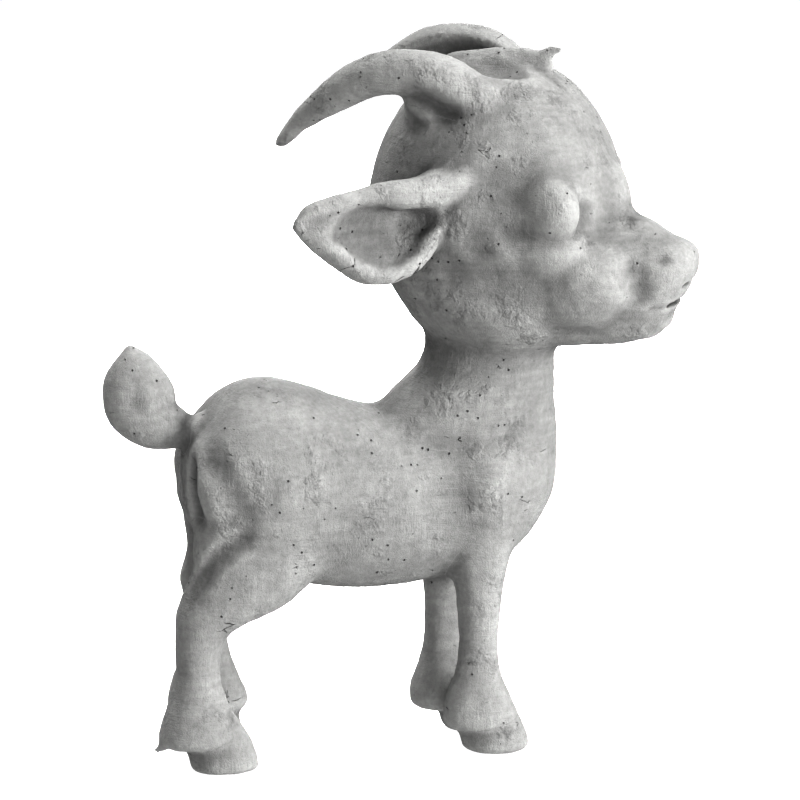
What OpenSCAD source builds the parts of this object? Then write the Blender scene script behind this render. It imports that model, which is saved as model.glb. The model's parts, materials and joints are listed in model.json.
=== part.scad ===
// Standing goat kid with its head turned, modelled in white clay over foam cores and wires.
// Frame: +X is the way the body faces, +Y is its left, +Z is up, and the soles stand on z = 0.

/* [Body] */
// Length of the barrel, rump to breast
body_length = 124; // [105:1:150]
// Height of the barrel at the croup
body_height = 66; // [58:1:80]
// Width of the barrel at the hips
body_width = 58; // [50:1:70]
// Height of the barrel's middle above the ground
leg_height = 88; // [76:1:106]

/* [Legs] */
// Thickness of a shank, fore and aft
shank_d = 14; // [12:0.5:17]
// Width of the cleft in a hoof's toe
cleft_w = 1.2; // [0.8:0.1:2]

/* [Head] */
// Length of the skull without the muzzle
head_length = 84; // [70:1:101]
// Height of the head, jaw to crown
head_height = 96; // [80:1:116]
// Width of the head across the cheeks
head_width = 76; // [64:1:92]
// How far the muzzle stands out from the middle of the head
muzzle_length = 67; // [60:1:80]
// How far the head is turned to the goat's right, in degrees
head_turn = 34; // [20:1:45]
// How far the head leans over to that side, in degrees
head_lean = 4; // [0:1:12]
// Height of the head's middle above the barrel's
neck_length = 90; // [84:1:108]
// Diameter of an eyeball
eye_d = 22; // [19:0.5:25]

/* [Horns, ears, forelock and tail] */
// Size of the horns, as a share of the usual ones
horn_size = 1; // [0.8:0.05:1.2]
// Length of an ear, root to tip
ear_length = 58; // [48:1:70]
// Size of the forelock, as a share of the usual one
forelock_size = 1; // [0.8:0.05:1.2]
// Size of the tail, as a share of the usual one
tail_size = 1; // [0.8:0.05:1.2]

/* [Armature] */
// Diameter of the leg wires
wire_d = 3; // [2:0.1:3.6]
// Diameter of the neck rod
rod_d = 4; // [3:0.1:5]
// Diameter of the pins in the horns, ears, tail and forelock
pin_d = 2; // [1.6:0.1:2.4]
// Radius of the foam core in the barrel
body_core_r = 15; // [12:0.5:18]
// Radius of the foam ball in the head
head_core_r = 22; // [18:0.5:26]
// Gap between the clay and what it covers
fit_gap = 0.05; // [0.02:0.01:0.1]

/* [Hidden] */

clay = [0.82, 0.82, 0.81];
foam = [0.93, 0.93, 0.96];
steel = [0.55, 0.56, 0.58];
RIGHT = "right";
LEFT = "left";
X = [1, 0, 0];
Y = [0, 1, 0];
Z = [0, 0, 1];
ROUND = 48;
$fn = ROUND;

// The outlines below are drawn in millimetres for the usual sizes, and stretched from those.
drawn_body = [124, 58, 66];
drawn_shank = 14;
drawn_leg_height = 88;
drawn_head = [84, 76, 96];
drawn_muzzle = 67;
drawn_neck = 90;
drawn_ear = 58;
body_k = [body_length / drawn_body.x, body_width / drawn_body.y, body_height / drawn_body.z];
shank_k = shank_d / drawn_shank;
leg_k = leg_height / drawn_leg_height;
head_k = [head_length / drawn_head.x, head_width / drawn_head.y, head_height / drawn_head.z];
muzzle_k = muzzle_length / drawn_muzzle;
neck_k = neck_length / drawn_neck;
ear_k = ear_length / drawn_ear;

// ---------- Lofted skins ----------
// A row is [x, y, z, half width, half depth]: the middle of a ring and its two half sizes.

function spline(a, b, c, d, t) =
    0.5 * (2 * b + (c - a) * t + (2 * a - 5 * b + 4 * c - d) * t * t + (3 * b - a - 3 * c + d) * t * t * t);
function clamped(rows, i) = rows[max(0, min(len(rows) - 1, i))];
function dense(rows, steps) = [
    for (i = [0 : len(rows) - 2], k = [0 : steps - 1])
        spline(clamped(rows, i - 1), rows[i], rows[i + 1], clamped(rows, i + 2), k / steps),
    rows[len(rows) - 1]];
function middle(row) = [row[0], row[1], row[2]];
function unit(v) = v / norm(v);
function heading(rows, i) = unit(middle(clamped(rows, i + 1)) - middle(clamped(rows, i - 1)));
function rounded(c, power) = sign(c) * pow(abs(c), 2 / power);
function ring(row, along, across, sides, power) =
    let (side = unit(across - (across * along) * along), up = cross(along, side))
    [for (k = [0 : sides - 1])
        middle(row) + side * row[3] * rounded(cos(360 * k / sides), power)
            + up * row[4] * rounded(sin(360 * k / sides), power)];
// A domed end: rings that close in over the length `cap`.
function dome(row, along, cap) = [
    for (a = [28, 52, 72]) concat(middle(row) + along * cap * sin(a), [row[3] * cos(a), row[4] * cos(a)])];
function backwards(list) = [for (i = [len(list) - 1 : -1 : 0]) list[i]];

// `along` fixes which way the rings face; without it they follow the line of their middles.
module loft(rows, along = [0, 0, 0], across = Y, sides = 20, steps = 3, start_cap = 0, end_cap = 0, power = 2.15) {
    body = dense(rows, steps);
    fixed = norm(along) > 0;
    faces_along = [for (i = [0 : len(body) - 1]) fixed ? along : heading(body, i)];
    last = len(body) - 1;
    start = start_cap > 0 ? backwards(dome(body[0], -faces_along[0], start_cap)) : [];
    end = end_cap > 0 ? dome(body[last], faces_along[last], end_cap) : [];
    all = concat(start, body, end);
    count = len(all);
    points = [for (i = [0 : count - 1])
        let (inner = max(0, min(last, i - len(start))))
        each ring(all[i], faces_along[inner], across, sides, power)];
    walls = [for (i = [0 : count - 2], k = [0 : sides - 1])
        let (a = i * sides + k, b = i * sides + (k + 1) % sides)
        each [[a, a + sides, b + sides], [a, b + sides, b]]];
    first_face = [for (k = [0 : sides - 1]) k];
    last_face = [for (k = [sides - 1 : -1 : 0]) (count - 1) * sides + k];
    polyhedron(points, concat([first_face, last_face], walls));
}

// Clay pressed on to its neighbours: the first child with the others cut away.
// It is trimmed as one mesh, so that round bores can be drilled in it afterwards.
module pressed() {
    resize([0, 0, 0])
        difference() {
            children(0);
            if ($children > 1)
                children([1 : $children - 1]);
        }
}

// A straight pin or its bore between two points.
module pin(from, to, d) {
    run = to - from;
    translate(from)
        rotate([0, acos(run.z / norm(run)), atan2(run.y, run.x)])
            cylinder(d = d, h = norm(run));
}

// ---------- Barrel and neck ----------
barrel = [-10 * body_k.x, 0, leg_height];

// Drawn as [x, z, half width, half height] from the barrel's middle, rump to breast.
torso_rows = [for (r = [
    [-60.5, 3, 19, 12],
    [-57, 4.5, 24.5, 18],
    [-49, 5.5, 28, 26],
    [-38, 4, 29, 32],
    [-25, 1.5, 28, 33],
    [-8, -3, 26, 31],
    [10, -5, 24.5, 29],
    [28, -3, 24, 28],
    [43, 0, 22, 27],
    [53, 2.5, 17, 21],
    [59.5, 4.5, 9, 13]])
    [barrel.x + r[0] * body_k.x, 0, barrel.z + r[1] * body_k.z, r[2] * body_k.y, r[3] * body_k.z]];

module torso_skin() {
    loft(torso_rows, along = X, sides = 28, start_cap = 1.5, end_cap = 2);
}

head_at = [31.5 * body_k.x, 0, leg_height + neck_length];

// Drawn as [x, height, half width, half depth] from under the withers up into the head.
neck_rows = [for (r = [
    [19, 2, 19, 31],
    [20, 14, 19.5, 32.5],
    [21.5, 23, 19.5, 30],
    [25, 31, 19, 26],
    [28.8, 38, 18.5, 22.2],
    [29.7, 46, 18, 21],
    [30, 62, 18, 21]])
    [r[0] * body_k.x, 0, leg_height + r[1] * neck_k, r[2] * body_k.y, r[3] * body_k.x]];

module neck_skin() {
    loft(neck_rows, along = Z, sides = 24);
}

// ---------- Legs ----------
// A leg row is drawn as [x, z, half width, half depth, shift inwards], with x from the foot.
function leg_rows(foot, rows) = [for (r = rows)
    [foot.x * body_k.x + r[0] * shank_k, (foot.y + r[4]) * body_k.y, r[1] * leg_k, r[2] * shank_k, r[3] * shank_k]];

right_fore_foot = [29, -15];
left_fore_foot = [28, 9.5];
right_hind_foot = [-61, -17];
left_hind_foot = [-59.5, 23];

// `lean` sets the shank and cuff fore or aft of the usual place.
function fore_rows(foot, lean, inwards) = leg_rows(foot, [
    [-3 + lean * 0.3, 86, 8, 10, inwards],
    [-4.5 + lean * 0.4, 74, 9.5, 11, inwards * 0.6],
    [-5.8 + lean * 0.7, 63, 9.3, 9.6, inwards * 0.3],
    [-6.2 + lean, 53, 7.6, 7.8, 0],
    [-6.2 + lean, 43, 6.8, 7, 0],
    [-6.6 + lean, 32, 6.5, 6.7, 0],
    [-6.6 + lean, 24, 7.5, 8.5, 0],
    [-6.4 + lean, 16.5, 9.2, 11.6, 0],
    [-5 + lean, 9.5, 10.2, 13, 0]]);
function hind_rows(foot, lean, inwards) = leg_rows(foot, [
    [14, 94, 10, 20, inwards],
    [13, 80, 12, 22.5, inwards * 0.8],
    [11 + lean * 0.3, 66, 12, 21.5, inwards * 0.4],
    [4.2 + lean * 0.6, 56, 10.8, 19, inwards * 0.2],
    [-0.6 + lean * 0.8, 51.5, 9.6, 15.8, 0],
    [-6.8 + lean, 46.5, 8.2, 9.4, 0],
    [-8.8 + lean, 40, 7.2, 7.7, 0],
    [-9 + lean, 33, 6.8, 7.3, 0],
    [-9 + lean, 26, 7.6, 8.8, 0],
    [-9 + lean, 18, 9.3, 11.8, 0],
    [-8.4 + lean, 10, 10.8, 14.2, 0]]);

right_fore_rows = fore_rows(right_fore_foot, 0, 3);
left_fore_rows = fore_rows(left_fore_foot, -4.5, 4);
right_hind_rows = hind_rows(right_hind_foot, 0, 3);
left_hind_rows = hind_rows(left_hind_foot, 8, -8);

module leg_skin(rows) {
    loft(rows, along = -Z, sides = 18, end_cap = 2);
}

// A hoof runs from inside the cuff down past the ground, where it is cut flat.
function hoof_rows(foot) = leg_rows(foot, [
    [-4, 17, 7, 8, 0],
    [-2.6, 11, 8.2, 10.2, 0],
    [-1.4, 6, 8.8, 11.2, 0],
    [-0.4, 2, 9, 11.3, 0],
    [0, -3, 9, 11.3, 0]]);
hoof_room = 60;
cleft_start = 3;
cleft_h = 8;

// The room that a hoof is cut to, down to the ground, and the cleft in its toe.
function below_ground(foot) = [foot.x * body_k.x - hoof_room / 2, foot.y * body_k.y - hoof_room / 2, -hoof_room];
function toe(foot) = [foot.x * body_k.x + cleft_start * shank_k, foot.y * body_k.y - cleft_w / 2, -1];

module hoof(foot, rows, wire_rows) {
    made_of(clay)
        difference() {
            pressed() {
                loft(hoof_rows(foot), along = -Z, sides = 22);
                leg_skin(rows);
                wire_skin(wire_rows, fit_gap);
            }
            translate(below_ground(foot))
                cube(hoof_room);
            translate(toe(foot))
                cube([hoof_room / 2, cleft_w, cleft_h * leg_k + 1]);
        }
}

module leg(rows, wire_rows) {
    made_of(clay)
        pressed() {
            leg_skin(rows);
            torso_skin();
            neck_skin();
            wire_skin(wire_rows, fit_gap);
        }
}

// A leg's wire, bent by hand: it follows the shank and ends beside the barrel's core.
// Drawn as [x from the foot, z, shift inwards].
function wire_rows(foot, bends, inwards) = [for (b = bends)
    [foot.x * body_k.x + b[0] * shank_k, foot.y * body_k.y + b[2] * inwards, b[1] * leg_k, wire_d / 2, wire_d / 2]];
function fore_bends(lean) = [
    [-2, 3, 0], [-5 + lean * 0.5, 12, 0], [-6.4 + lean, 24, 0], [-6.4 + lean, 45, 0],
    [-5 + lean * 0.6, 62, -0.2], [-3 + lean * 0.3, 78, -1]];
function hind_bends(lean) = [
    [-2, 3, 0], [-6.2 + lean * 0.7, 11.5, 0], [-8.8 + lean, 22, 0], [-8.8 + lean, 38, 0],
    [-3 + lean * 0.7, 54, 0.2], [6 + lean * 0.4, 68, 0.6], [12, 80, 1]];
right_fore_wire_rows = wire_rows(right_fore_foot, fore_bends(0), 2);
left_fore_wire_rows = wire_rows(left_fore_foot, fore_bends(-4.5), -8);
right_hind_wire_rows = wire_rows(right_hind_foot, hind_bends(0), 0);
left_hind_wire_rows = wire_rows(left_hind_foot, hind_bends(8), -6);

module wire_skin(rows, gap) {
    loft([for (r = rows) [r[0], r[1], r[2], r[3] + gap, r[4] + gap]], sides = 12, steps = 2, power = 2);
}

module wire(rows) {
    made_of(steel)
        pressed()
            wire_skin(rows, 0);
}

// ---------- Head, drawn round its own middle, facing +X ----------
module at_head() {
    translate(head_at)
        rotate([head_lean, 0, -head_turn])
            children();
}

// Drawn as [z, x at the back, x at the front, half width], jaw to crown.
skull_rows = [for (r = [
    [-47.5, -8, 14, 12],
    [-44, -18, 23, 22],
    [-37, -26, 31, 30],
    [-28, -32, 36.5, 35],
    [-18, -37, 40, 37.7],
    [-6, -40, 41, 38.2],
    [6, -40.3, 41, 37.5],
    [18, -37, 38, 35],
    [29, -31, 32.5, 30.5],
    [38, -23.5, 25, 24],
    [44, -15, 16, 16],
    [47, -7, 7, 8]])
    [(r[1] + r[2]) / 2 * head_k.x, 0, r[0] * head_k.z, r[3] * head_k.y, (r[2] - r[1]) / 2 * head_k.x]];

// Drawn as [x, z at the bottom, z at the top, half width], from inside the skull to the nose.
muzzle_rows = [for (r = [
    [18, -46, 4, 26],
    [32, -44.5, 2, 23],
    [44, -43.3, -1, 19.5],
    [52, -40.5, -5.5, 16.5],
    [58, -34.5, -7.5, 14.3],
    [63, -26, -8.6, 11.5],
    [66, -20.5, -11, 7.5]])
    [r[0] * muzzle_k, 0, (r[1] + r[2]) / 2 * head_k.z, r[3] * head_k.y, (r[2] - r[1]) / 2 * head_k.z]];

module head_skin() {
    loft(skull_rows, along = Z, sides = 32, start_cap = 0.8, end_cap = 1);
    loft(muzzle_rows, along = X, sides = 24, end_cap = 1);
}

function head_point(v) = [v.x * head_k.x, v.y * head_k.y, v.z * head_k.z];
eye_point = head_point([26, 24, 4]);

// ---------- Horns, ears and forelock, drawn on the goat's left ----------
horn_root = head_point([1, 18, 33]);
horn_rows = [for (r = [
    [3, -4, -9, 10.5],
    [0, 0, 0, 9.5],
    [-7, 4, 8.5, 8.4],
    [-18, 7, 12.5, 7.6],
    [-32, 8, 11.5, 6.8],
    [-46, 7, 4, 5.5],
    [-58, 5, -4.5, 3.5],
    [-67, 3, -11.5, 1]])
    [horn_root.x + horn_size * r[0], horn_root.y + horn_size * r[1], horn_root.z + horn_size * r[2],
        horn_size * r[3], horn_size * r[3]]];

module horn_skin() {
    loft(horn_rows, sides = 18, end_cap = 1, power = 2);
}

// An ear is a leaf, cupped along its length.
// Drawn as [distance from the root, top edge, bottom edge, half thickness].
ear_root = head_point([2, 32, 15]);
ear_out = unit([-0.78, 0.62, -0.1]);
ear_table = [
    [-4, 6, -6, 6],
    [8, 5, -7, 5.5],
    [16, 5, -14, 5],
    [26, 5.5, -25, 4.6],
    [36, 5, -27, 4],
    [46, 4, -19.5, 3],
    [54, 1, -11, 2],
    [58, -2, -5, 1]];
ear_rows = [for (r = ear_table)
    let (at = ear_root + ear_out * r[0] * ear_k + Z * (r[1] + r[2]) / 2 * ear_k)
    concat(at, [r[3] * ear_k, (r[1] - r[2]) / 2 * ear_k])];

module ear_skin() {
    loft(ear_rows, along = ear_out, across = [0.62, 0.78, 0], sides = 18, end_cap = 0.5);
}

// Drawn as [x, z, half width], back to tip.
forelock_at = head_point([0, 0, 43]);
forelock_rows = [for (r = [
    [-17, -1, 2.5],
    [-10, -0.5, 6],
    [0, 0, 7.5],
    [8, 1, 6],
    [14, 2.5, 3.8],
    [19, 4.5, 1.8],
    [21.5, 5.8, 0.6]])
    [forelock_at.x + r[0] * forelock_size, 0, forelock_at.z + r[1] * forelock_size,
        r[2] * forelock_size, r[2] * 0.8 * forelock_size]];

module forelock_skin() {
    loft(forelock_rows, sides = 16, start_cap = 1, end_cap = 0.4, power = 2);
}

// ---------- Tail ----------
// Drawn as [x, z, half width, half depth] from its root, out and then up.
tail_root = [-60 * body_k.x, 0, leg_height + 19.5 * body_k.z];
tail_rows = [for (r = [
    [3, 0, 4.6, 4.6],
    [-6, -0.8, 4.2, 4.2],
    [-12.5, 0, 5, 5.5],
    [-19, 3.2, 7.2, 9.5],
    [-24, 9.5, 8, 12],
    [-26, 17, 7, 10.8],
    [-26.8, 23.5, 4.6, 7],
    [-27.6, 28.5, 1.4, 1.6]])
    [tail_root.x + r[0] * tail_size, 0, tail_root.z + r[1] * tail_size, r[2] * tail_size, r[3] * tail_size]];

module tail_skin() {
    loft(tail_rows, sides = 18, end_cap = 1, power = 2);
}

// ---------- Where it stands: the middle of its outermost points is at x = 0, y = 0 ----------
function turned(x, y) = head_at
    + [x * cos(head_turn) + y * sin(head_turn), y * cos(head_turn) - x * sin(head_turn), 0];
nose_row = muzzle_rows[len(muzzle_rows) - 1];
lip_row = muzzle_rows[4];
ear_tip = ear_rows[len(ear_rows) - 1];
tail_bend = tail_rows[5];
front_x = turned(nose_row[0], nose_row[3]).x;
back_x = tail_bend[0] - tail_bend[4];
left_y = turned(ear_tip[0], ear_tip[1]).y;
right_y = turned(lip_row[0], -lip_row[3]).y;
stand_at = [-(front_x + back_x) / 2, -(left_y + right_y) / 2, 0];

module made_of(colour) {
    color(colour)
        translate(stand_at)
            children();
}

// ---------- Cores, rod and pins ----------
core_back = [-38 * body_k.x, 0, leg_height + 2];
core_front = [22 * body_k.x, 0, leg_height + 2];

module body_core_solid(gap) {
    pin(core_back, core_front, 2 * (body_core_r + gap));
    for (end = [core_back, core_front])
        translate(end)
            sphere(r = body_core_r + gap);
}

module head_core_solid(gap) {
    translate(head_at)
        sphere(r = head_core_r + gap);
}

rod_foot = [head_at.x, 0, leg_height];
rod_top = [head_at.x, 0, head_at.z - 6];

module neck_rod_solid(gap) {
    pin(rod_foot, rod_top, rod_d + 2 * gap);
}

// Pins in the head: [inner end, outer end], in the head's own frame.
horn_pin_ends = [horn_root + horn_size * [4, -6, -15], horn_root + horn_size * [-6, 3, 7]];
ear_pin_ends = [ear_root - ear_out * 8, ear_root + ear_out * 13 * ear_k + Z * -2.5 * ear_k];
forelock_pin_ends = [forelock_at + [1, 0, -11], forelock_at + [1, 0, 3 * forelock_size]];
tail_pin_ends = [tail_root + [8, 0, 0], tail_root + [-11 * tail_size, 0, -0.6 * tail_size]];

module pin_solid(ends, gap) {
    pin(ends[0], ends[1], pin_d + 2 * gap);
}

// Things drawn on the goat's left, put on the chosen side of the head.
module on_side(side) {
    at_head()
        mirror([0, side == RIGHT ? 1 : 0, 0])
            children();
}

// ---------- Nodes ----------
module torso() {
    made_of(clay)
        difference() {
            pressed() {
                torso_skin();
                wire_skin(right_fore_wire_rows, fit_gap);
                wire_skin(left_fore_wire_rows, fit_gap);
                wire_skin(right_hind_wire_rows, fit_gap);
                wire_skin(left_hind_wire_rows, fit_gap);
            }
            body_core_solid(fit_gap);
            neck_rod_solid(fit_gap);
            pin_solid(tail_pin_ends, fit_gap);
        }
}

module neck() {
    made_of(clay)
        difference() {
            pressed() {
                neck_skin();
                torso_skin();
                at_head() head_skin();
            }
            neck_rod_solid(fit_gap);
        }
}

module head() {
    made_of(clay)
        difference() {
            pressed()
                at_head() head_skin();
            head_core_solid(fit_gap);
            neck_rod_solid(fit_gap);
            at_head()
                pin_solid(forelock_pin_ends, fit_gap);
            for (side = [RIGHT, LEFT])
                on_side(side) {
                    translate(eye_point)
                        sphere(d = eye_d + 2 * fit_gap);
                    pin_solid(horn_pin_ends, fit_gap);
                    pin_solid(ear_pin_ends, fit_gap);
                }
        }
}

module eye(side) {
    made_of(clay)
        on_side(side)
            translate(eye_point)
                sphere(d = eye_d);
}

module ear(side) {
    made_of(clay)
        difference() {
            pressed() {
                on_side(side) ear_skin();
                at_head() head_skin();
            }
            on_side(side) pin_solid(ear_pin_ends, fit_gap);
        }
}

module horn(side) {
    made_of(clay)
        difference() {
            pressed() {
                on_side(side) horn_skin();
                at_head() head_skin();
            }
            on_side(side) pin_solid(horn_pin_ends, fit_gap);
        }
}

module forelock() {
    made_of(clay)
        difference() {
            pressed() {
                at_head() forelock_skin();
                at_head() head_skin();
            }
            at_head() pin_solid(forelock_pin_ends, fit_gap);
        }
}

module tail() {
    made_of(clay)
        difference() {
            pressed() {
                tail_skin();
                torso_skin();
            }
            pin_solid(tail_pin_ends, fit_gap);
        }
}

module right_eye() eye(RIGHT);
module left_eye() eye(LEFT);
module right_ear() ear(RIGHT);
module left_ear() ear(LEFT);
module right_horn() horn(RIGHT);
module left_horn() horn(LEFT);
module right_foreleg() leg(right_fore_rows, right_fore_wire_rows);
module left_foreleg() leg(left_fore_rows, left_fore_wire_rows);
module right_hind_leg() leg(right_hind_rows, right_hind_wire_rows);
module left_hind_leg() leg(left_hind_rows, left_hind_wire_rows);
module right_fore_hoof() hoof(right_fore_foot, right_fore_rows, right_fore_wire_rows);
module left_fore_hoof() hoof(left_fore_foot, left_fore_rows, left_fore_wire_rows);
module right_hind_hoof() hoof(right_hind_foot, right_hind_rows, right_hind_wire_rows);
module left_hind_hoof() hoof(left_hind_foot, left_hind_rows, left_hind_wire_rows);
module body_core()
    made_of(foam)
        difference() {
            body_core_solid(0);
            neck_rod_solid(fit_gap);
        }
module head_core()
    made_of(foam)
        difference() {
            head_core_solid(0);
            neck_rod_solid(fit_gap);
        }
module neck_rod() made_of(steel) neck_rod_solid(0);
module tail_pin() made_of(steel) pin_solid(tail_pin_ends, 0);
module forelock_pin() made_of(steel) at_head() pin_solid(forelock_pin_ends, 0);
module right_horn_pin() made_of(steel) on_side(RIGHT) pin_solid(horn_pin_ends, 0);
module left_horn_pin() made_of(steel) on_side(LEFT) pin_solid(horn_pin_ends, 0);
module right_ear_pin() made_of(steel) on_side(RIGHT) pin_solid(ear_pin_ends, 0);
module left_ear_pin() made_of(steel) on_side(LEFT) pin_solid(ear_pin_ends, 0);
module right_fore_wire() wire(right_fore_wire_rows);
module left_fore_wire() wire(left_fore_wire_rows);
module right_hind_wire() wire(right_hind_wire_rows);
module left_hind_wire() wire(left_hind_wire_rows);

torso();
neck();
head();
right_eye();
left_eye();
right_ear();
left_ear();
right_horn();
left_horn();
forelock();
tail();
right_foreleg();
left_foreleg();
right_hind_leg();
left_hind_leg();
right_fore_hoof();
left_fore_hoof();
right_hind_hoof();
left_hind_hoof();
body_core();
head_core();
neck_rod();
tail_pin();
forelock_pin();
right_horn_pin();
left_horn_pin();
right_ear_pin();
left_ear_pin();
right_fore_wire();
left_fore_wire();
right_hind_wire();
left_hind_wire();
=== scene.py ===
# %% [markdown]
# # A goat kid in white modelling clay
# The figure is built as its maker builds it: lumps of clay pressed together, blended with a thumb,
# dressed with ears, horns and a forelock, scraped with a tool, and left to dry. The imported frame
# gives the place and the size of every lump, and Blender gives the clay its look.

# %% Load the frame
import json
import math
import bpy
import numpy as np
from mathutils import Matrix, Vector

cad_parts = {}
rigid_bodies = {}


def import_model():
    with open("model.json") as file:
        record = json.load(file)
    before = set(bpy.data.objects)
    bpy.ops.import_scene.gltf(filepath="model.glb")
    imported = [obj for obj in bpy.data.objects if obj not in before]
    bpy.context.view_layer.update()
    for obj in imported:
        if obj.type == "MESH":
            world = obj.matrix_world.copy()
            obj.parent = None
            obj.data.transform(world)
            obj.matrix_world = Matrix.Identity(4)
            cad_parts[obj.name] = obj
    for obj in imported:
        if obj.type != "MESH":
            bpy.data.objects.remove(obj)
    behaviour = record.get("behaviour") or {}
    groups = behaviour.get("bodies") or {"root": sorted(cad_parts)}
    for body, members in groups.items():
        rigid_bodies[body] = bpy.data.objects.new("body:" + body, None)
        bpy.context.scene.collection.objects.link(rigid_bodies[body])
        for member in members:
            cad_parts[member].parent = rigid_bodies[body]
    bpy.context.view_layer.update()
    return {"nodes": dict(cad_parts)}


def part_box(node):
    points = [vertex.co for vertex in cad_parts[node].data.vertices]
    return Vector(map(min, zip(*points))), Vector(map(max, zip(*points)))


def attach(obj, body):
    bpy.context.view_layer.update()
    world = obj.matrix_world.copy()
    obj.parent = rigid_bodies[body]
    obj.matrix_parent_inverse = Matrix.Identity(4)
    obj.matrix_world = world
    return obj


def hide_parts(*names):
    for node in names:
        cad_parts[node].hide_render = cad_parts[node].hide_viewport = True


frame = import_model()
MM = 0.001
nodes = frame["nodes"]

# %% [markdown]
# ## Where things are
# Every place is worked out from the boxes of the frame's nodes, so the clay follows the lumps. The
# goat looks along X. Its head was made straight, and then turned and leant, so the head's own axes
# are kept as a matrix: a point given in the head's axes, in millimetres, becomes a scene point.

# %% Places
RIGHT, LEFT = -1, 1
HEAD_TURN = math.radians(-34)
HEAD_LEAN = math.radians(4)


def middle(node):
    """The middle of a node's box."""
    low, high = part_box(node)
    return (low + high) / 2


body_middle = middle("body_core")
body_frame = Matrix.Translation((body_middle.x, body_middle.y, 0))
head_turned = Matrix.Rotation(HEAD_TURN, 3, "Z") @ Matrix.Rotation(HEAD_LEAN, 3, "X")
head_frame = Matrix.Translation(middle("head_core")) @ head_turned.to_4x4()


def in_head(x, y, z):
    """A point given in the head's axes: forwards, to the goat's left, up."""
    return head_frame @ (Vector((x, y, z)) * MM)


def from_body(x, y, z):
    """A point given from the middle of the barrel, at floor level."""
    return body_frame @ (Vector((x, y, z)) * MM)


print("head middle", tuple(round(c, 4) for c in middle("head_core")))

# %% [markdown]
# ## The camera
# The camera stands on the goat's right, a little behind its middle and a little above it. It has a
# long lens and stands far off, as for a product view, so the near legs don't look too big.

# %% Camera
CAMERA_AZIMUTH = math.radians(-13)
CAMERA_ELEVATION = math.radians(12)
CAMERA_DISTANCE = 1.1
target = from_body(8, 0, 114.5)


def direction(azimuth, elevation):
    """A unit vector that points up and away; azimuth 0 looks along +Y."""
    flat = math.cos(elevation)
    return Vector((math.sin(azimuth) * flat, -math.cos(azimuth) * flat, math.sin(elevation)))


away = direction(CAMERA_AZIMUTH, CAMERA_ELEVATION)
bpy.ops.object.camera_add(location=target + away * CAMERA_DISTANCE)
camera = bpy.context.object
camera.rotation_euler = away.to_track_quat("Z", "Y").to_euler()
camera.data.lens = 153.45
camera.data.sensor_width = 36
camera.data.clip_start = 0.05
bpy.context.scene.camera = camera
print("camera at", tuple(round(c, 3) for c in camera.location))

# %% [markdown]
# ## The light
# Dry clay is matt, so only the light shows its shape. The main lamp stands low at the front right,
# so it runs along the goat and picks out every fold. Two lamps behind draw the edges of the legs
# and the back, and weak ones above and in front open the shadows. The tone curve is a little
# steeper than the standard one, which is how a studio print of white clay keeps its depth.

# %% Lamps
LAMP_DISTANCE = 1.6
LAMP_SIZE = 0.5


def soft_lamp(name, azimuth, elevation, power):
    """A round soft lamp; azimuth runs from the camera's side towards the goat's nose."""
    way = direction(math.radians(azimuth) + CAMERA_AZIMUTH, math.radians(elevation))
    bpy.ops.object.light_add(type="AREA", location=target + way * LAMP_DISTANCE)
    lamp = bpy.context.object
    lamp.name = name
    lamp.data.shape = "DISK"
    lamp.data.size = LAMP_SIZE
    lamp.data.energy = power
    lamp.rotation_euler = way.to_track_quat("Z", "Y").to_euler()
    lamp.visible_camera = False


soft_lamp("key", 62, 10, 38)
soft_lamp("front", 5, 14, 9)
soft_lamp("side", 90, 30, 6)
soft_lamp("top", 45, 60, 15)
soft_lamp("rim", 180, 9, 36)
soft_lamp("back", 225, 60, 32)
soft_lamp("left", 300, 60, 4)

scene = bpy.context.scene
scene.view_settings.view_transform = "Standard"
scene.view_settings.gamma = 0.65
world = bpy.data.worlds.new("studio")
scene.world = world
world.use_nodes = True
world.node_tree.nodes["Background"].inputs["Color"].default_value = (1, 1, 1, 1)
world.node_tree.nodes["Background"].inputs["Strength"].default_value = 0.03

# %% [markdown]
# ## The floor
# The goat stands on a large sheet of white paper lit from below, as on a light table.

# %% Floor
bpy.ops.mesh.primitive_plane_add(size=12, location=(0, 0, 0))
floor = bpy.context.object
floor.name = "floor"
paper = bpy.data.materials.new("white_paper")
paper.use_nodes = True
paper_shader = paper.node_tree.nodes["Principled BSDF"]
paper_shader.inputs["Base Color"].default_value = (0.06, 0.06, 0.06, 1)
paper_shader.inputs["Emission Color"].default_value = (1, 1, 1, 1)
paper_shader.inputs["Emission Strength"].default_value = 1.0
floor.data.materials.append(paper)
print("floor", tuple(floor.dimensions))

# %% [markdown]
# ## Handling objects
# Blender's operators act on whatever is selected, so each step first selects exactly what it needs.
# A modifier does its work when it is applied, and these two helpers keep that to one line.

# %% Selecting and applying
def only(thing):
    """Select one object alone and make it active."""
    bpy.ops.object.select_all(action="DESELECT")
    thing.select_set(True)
    bpy.context.view_layer.objects.active = thing


def apply(thing, kind, **settings):
    """Add a modifier with its settings and apply it."""
    only(thing)
    modifier = thing.modifiers.new(kind.lower(), kind)
    for name, value in settings.items():
        setattr(modifier, name, value)
    bpy.ops.object.modifier_apply(modifier=modifier.name)


def in_edit_mode(thing, operator, **settings):
    """Run one edit-mode operator on the whole of a mesh."""
    only(thing)
    bpy.ops.object.mode_set(mode="EDIT")
    bpy.ops.mesh.select_all(action="SELECT")
    operator(**settings)
    bpy.ops.object.mode_set(mode="OBJECT")


print("the frame's nodes stay where they are:", len(nodes))

# %% [markdown]
# ## Lumps, balls and rolls
# A maker works with three shapes: a lump, a ball squeezed between the palms, and a roll made on the
# table. The lumps are copies of the frame's own. Balls and rolls are stretched spheres, placed in
# the axes of the head or the body, and each is only a start that is pressed into the rest later.

# %% Lumps
MERGE = 0.01


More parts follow.
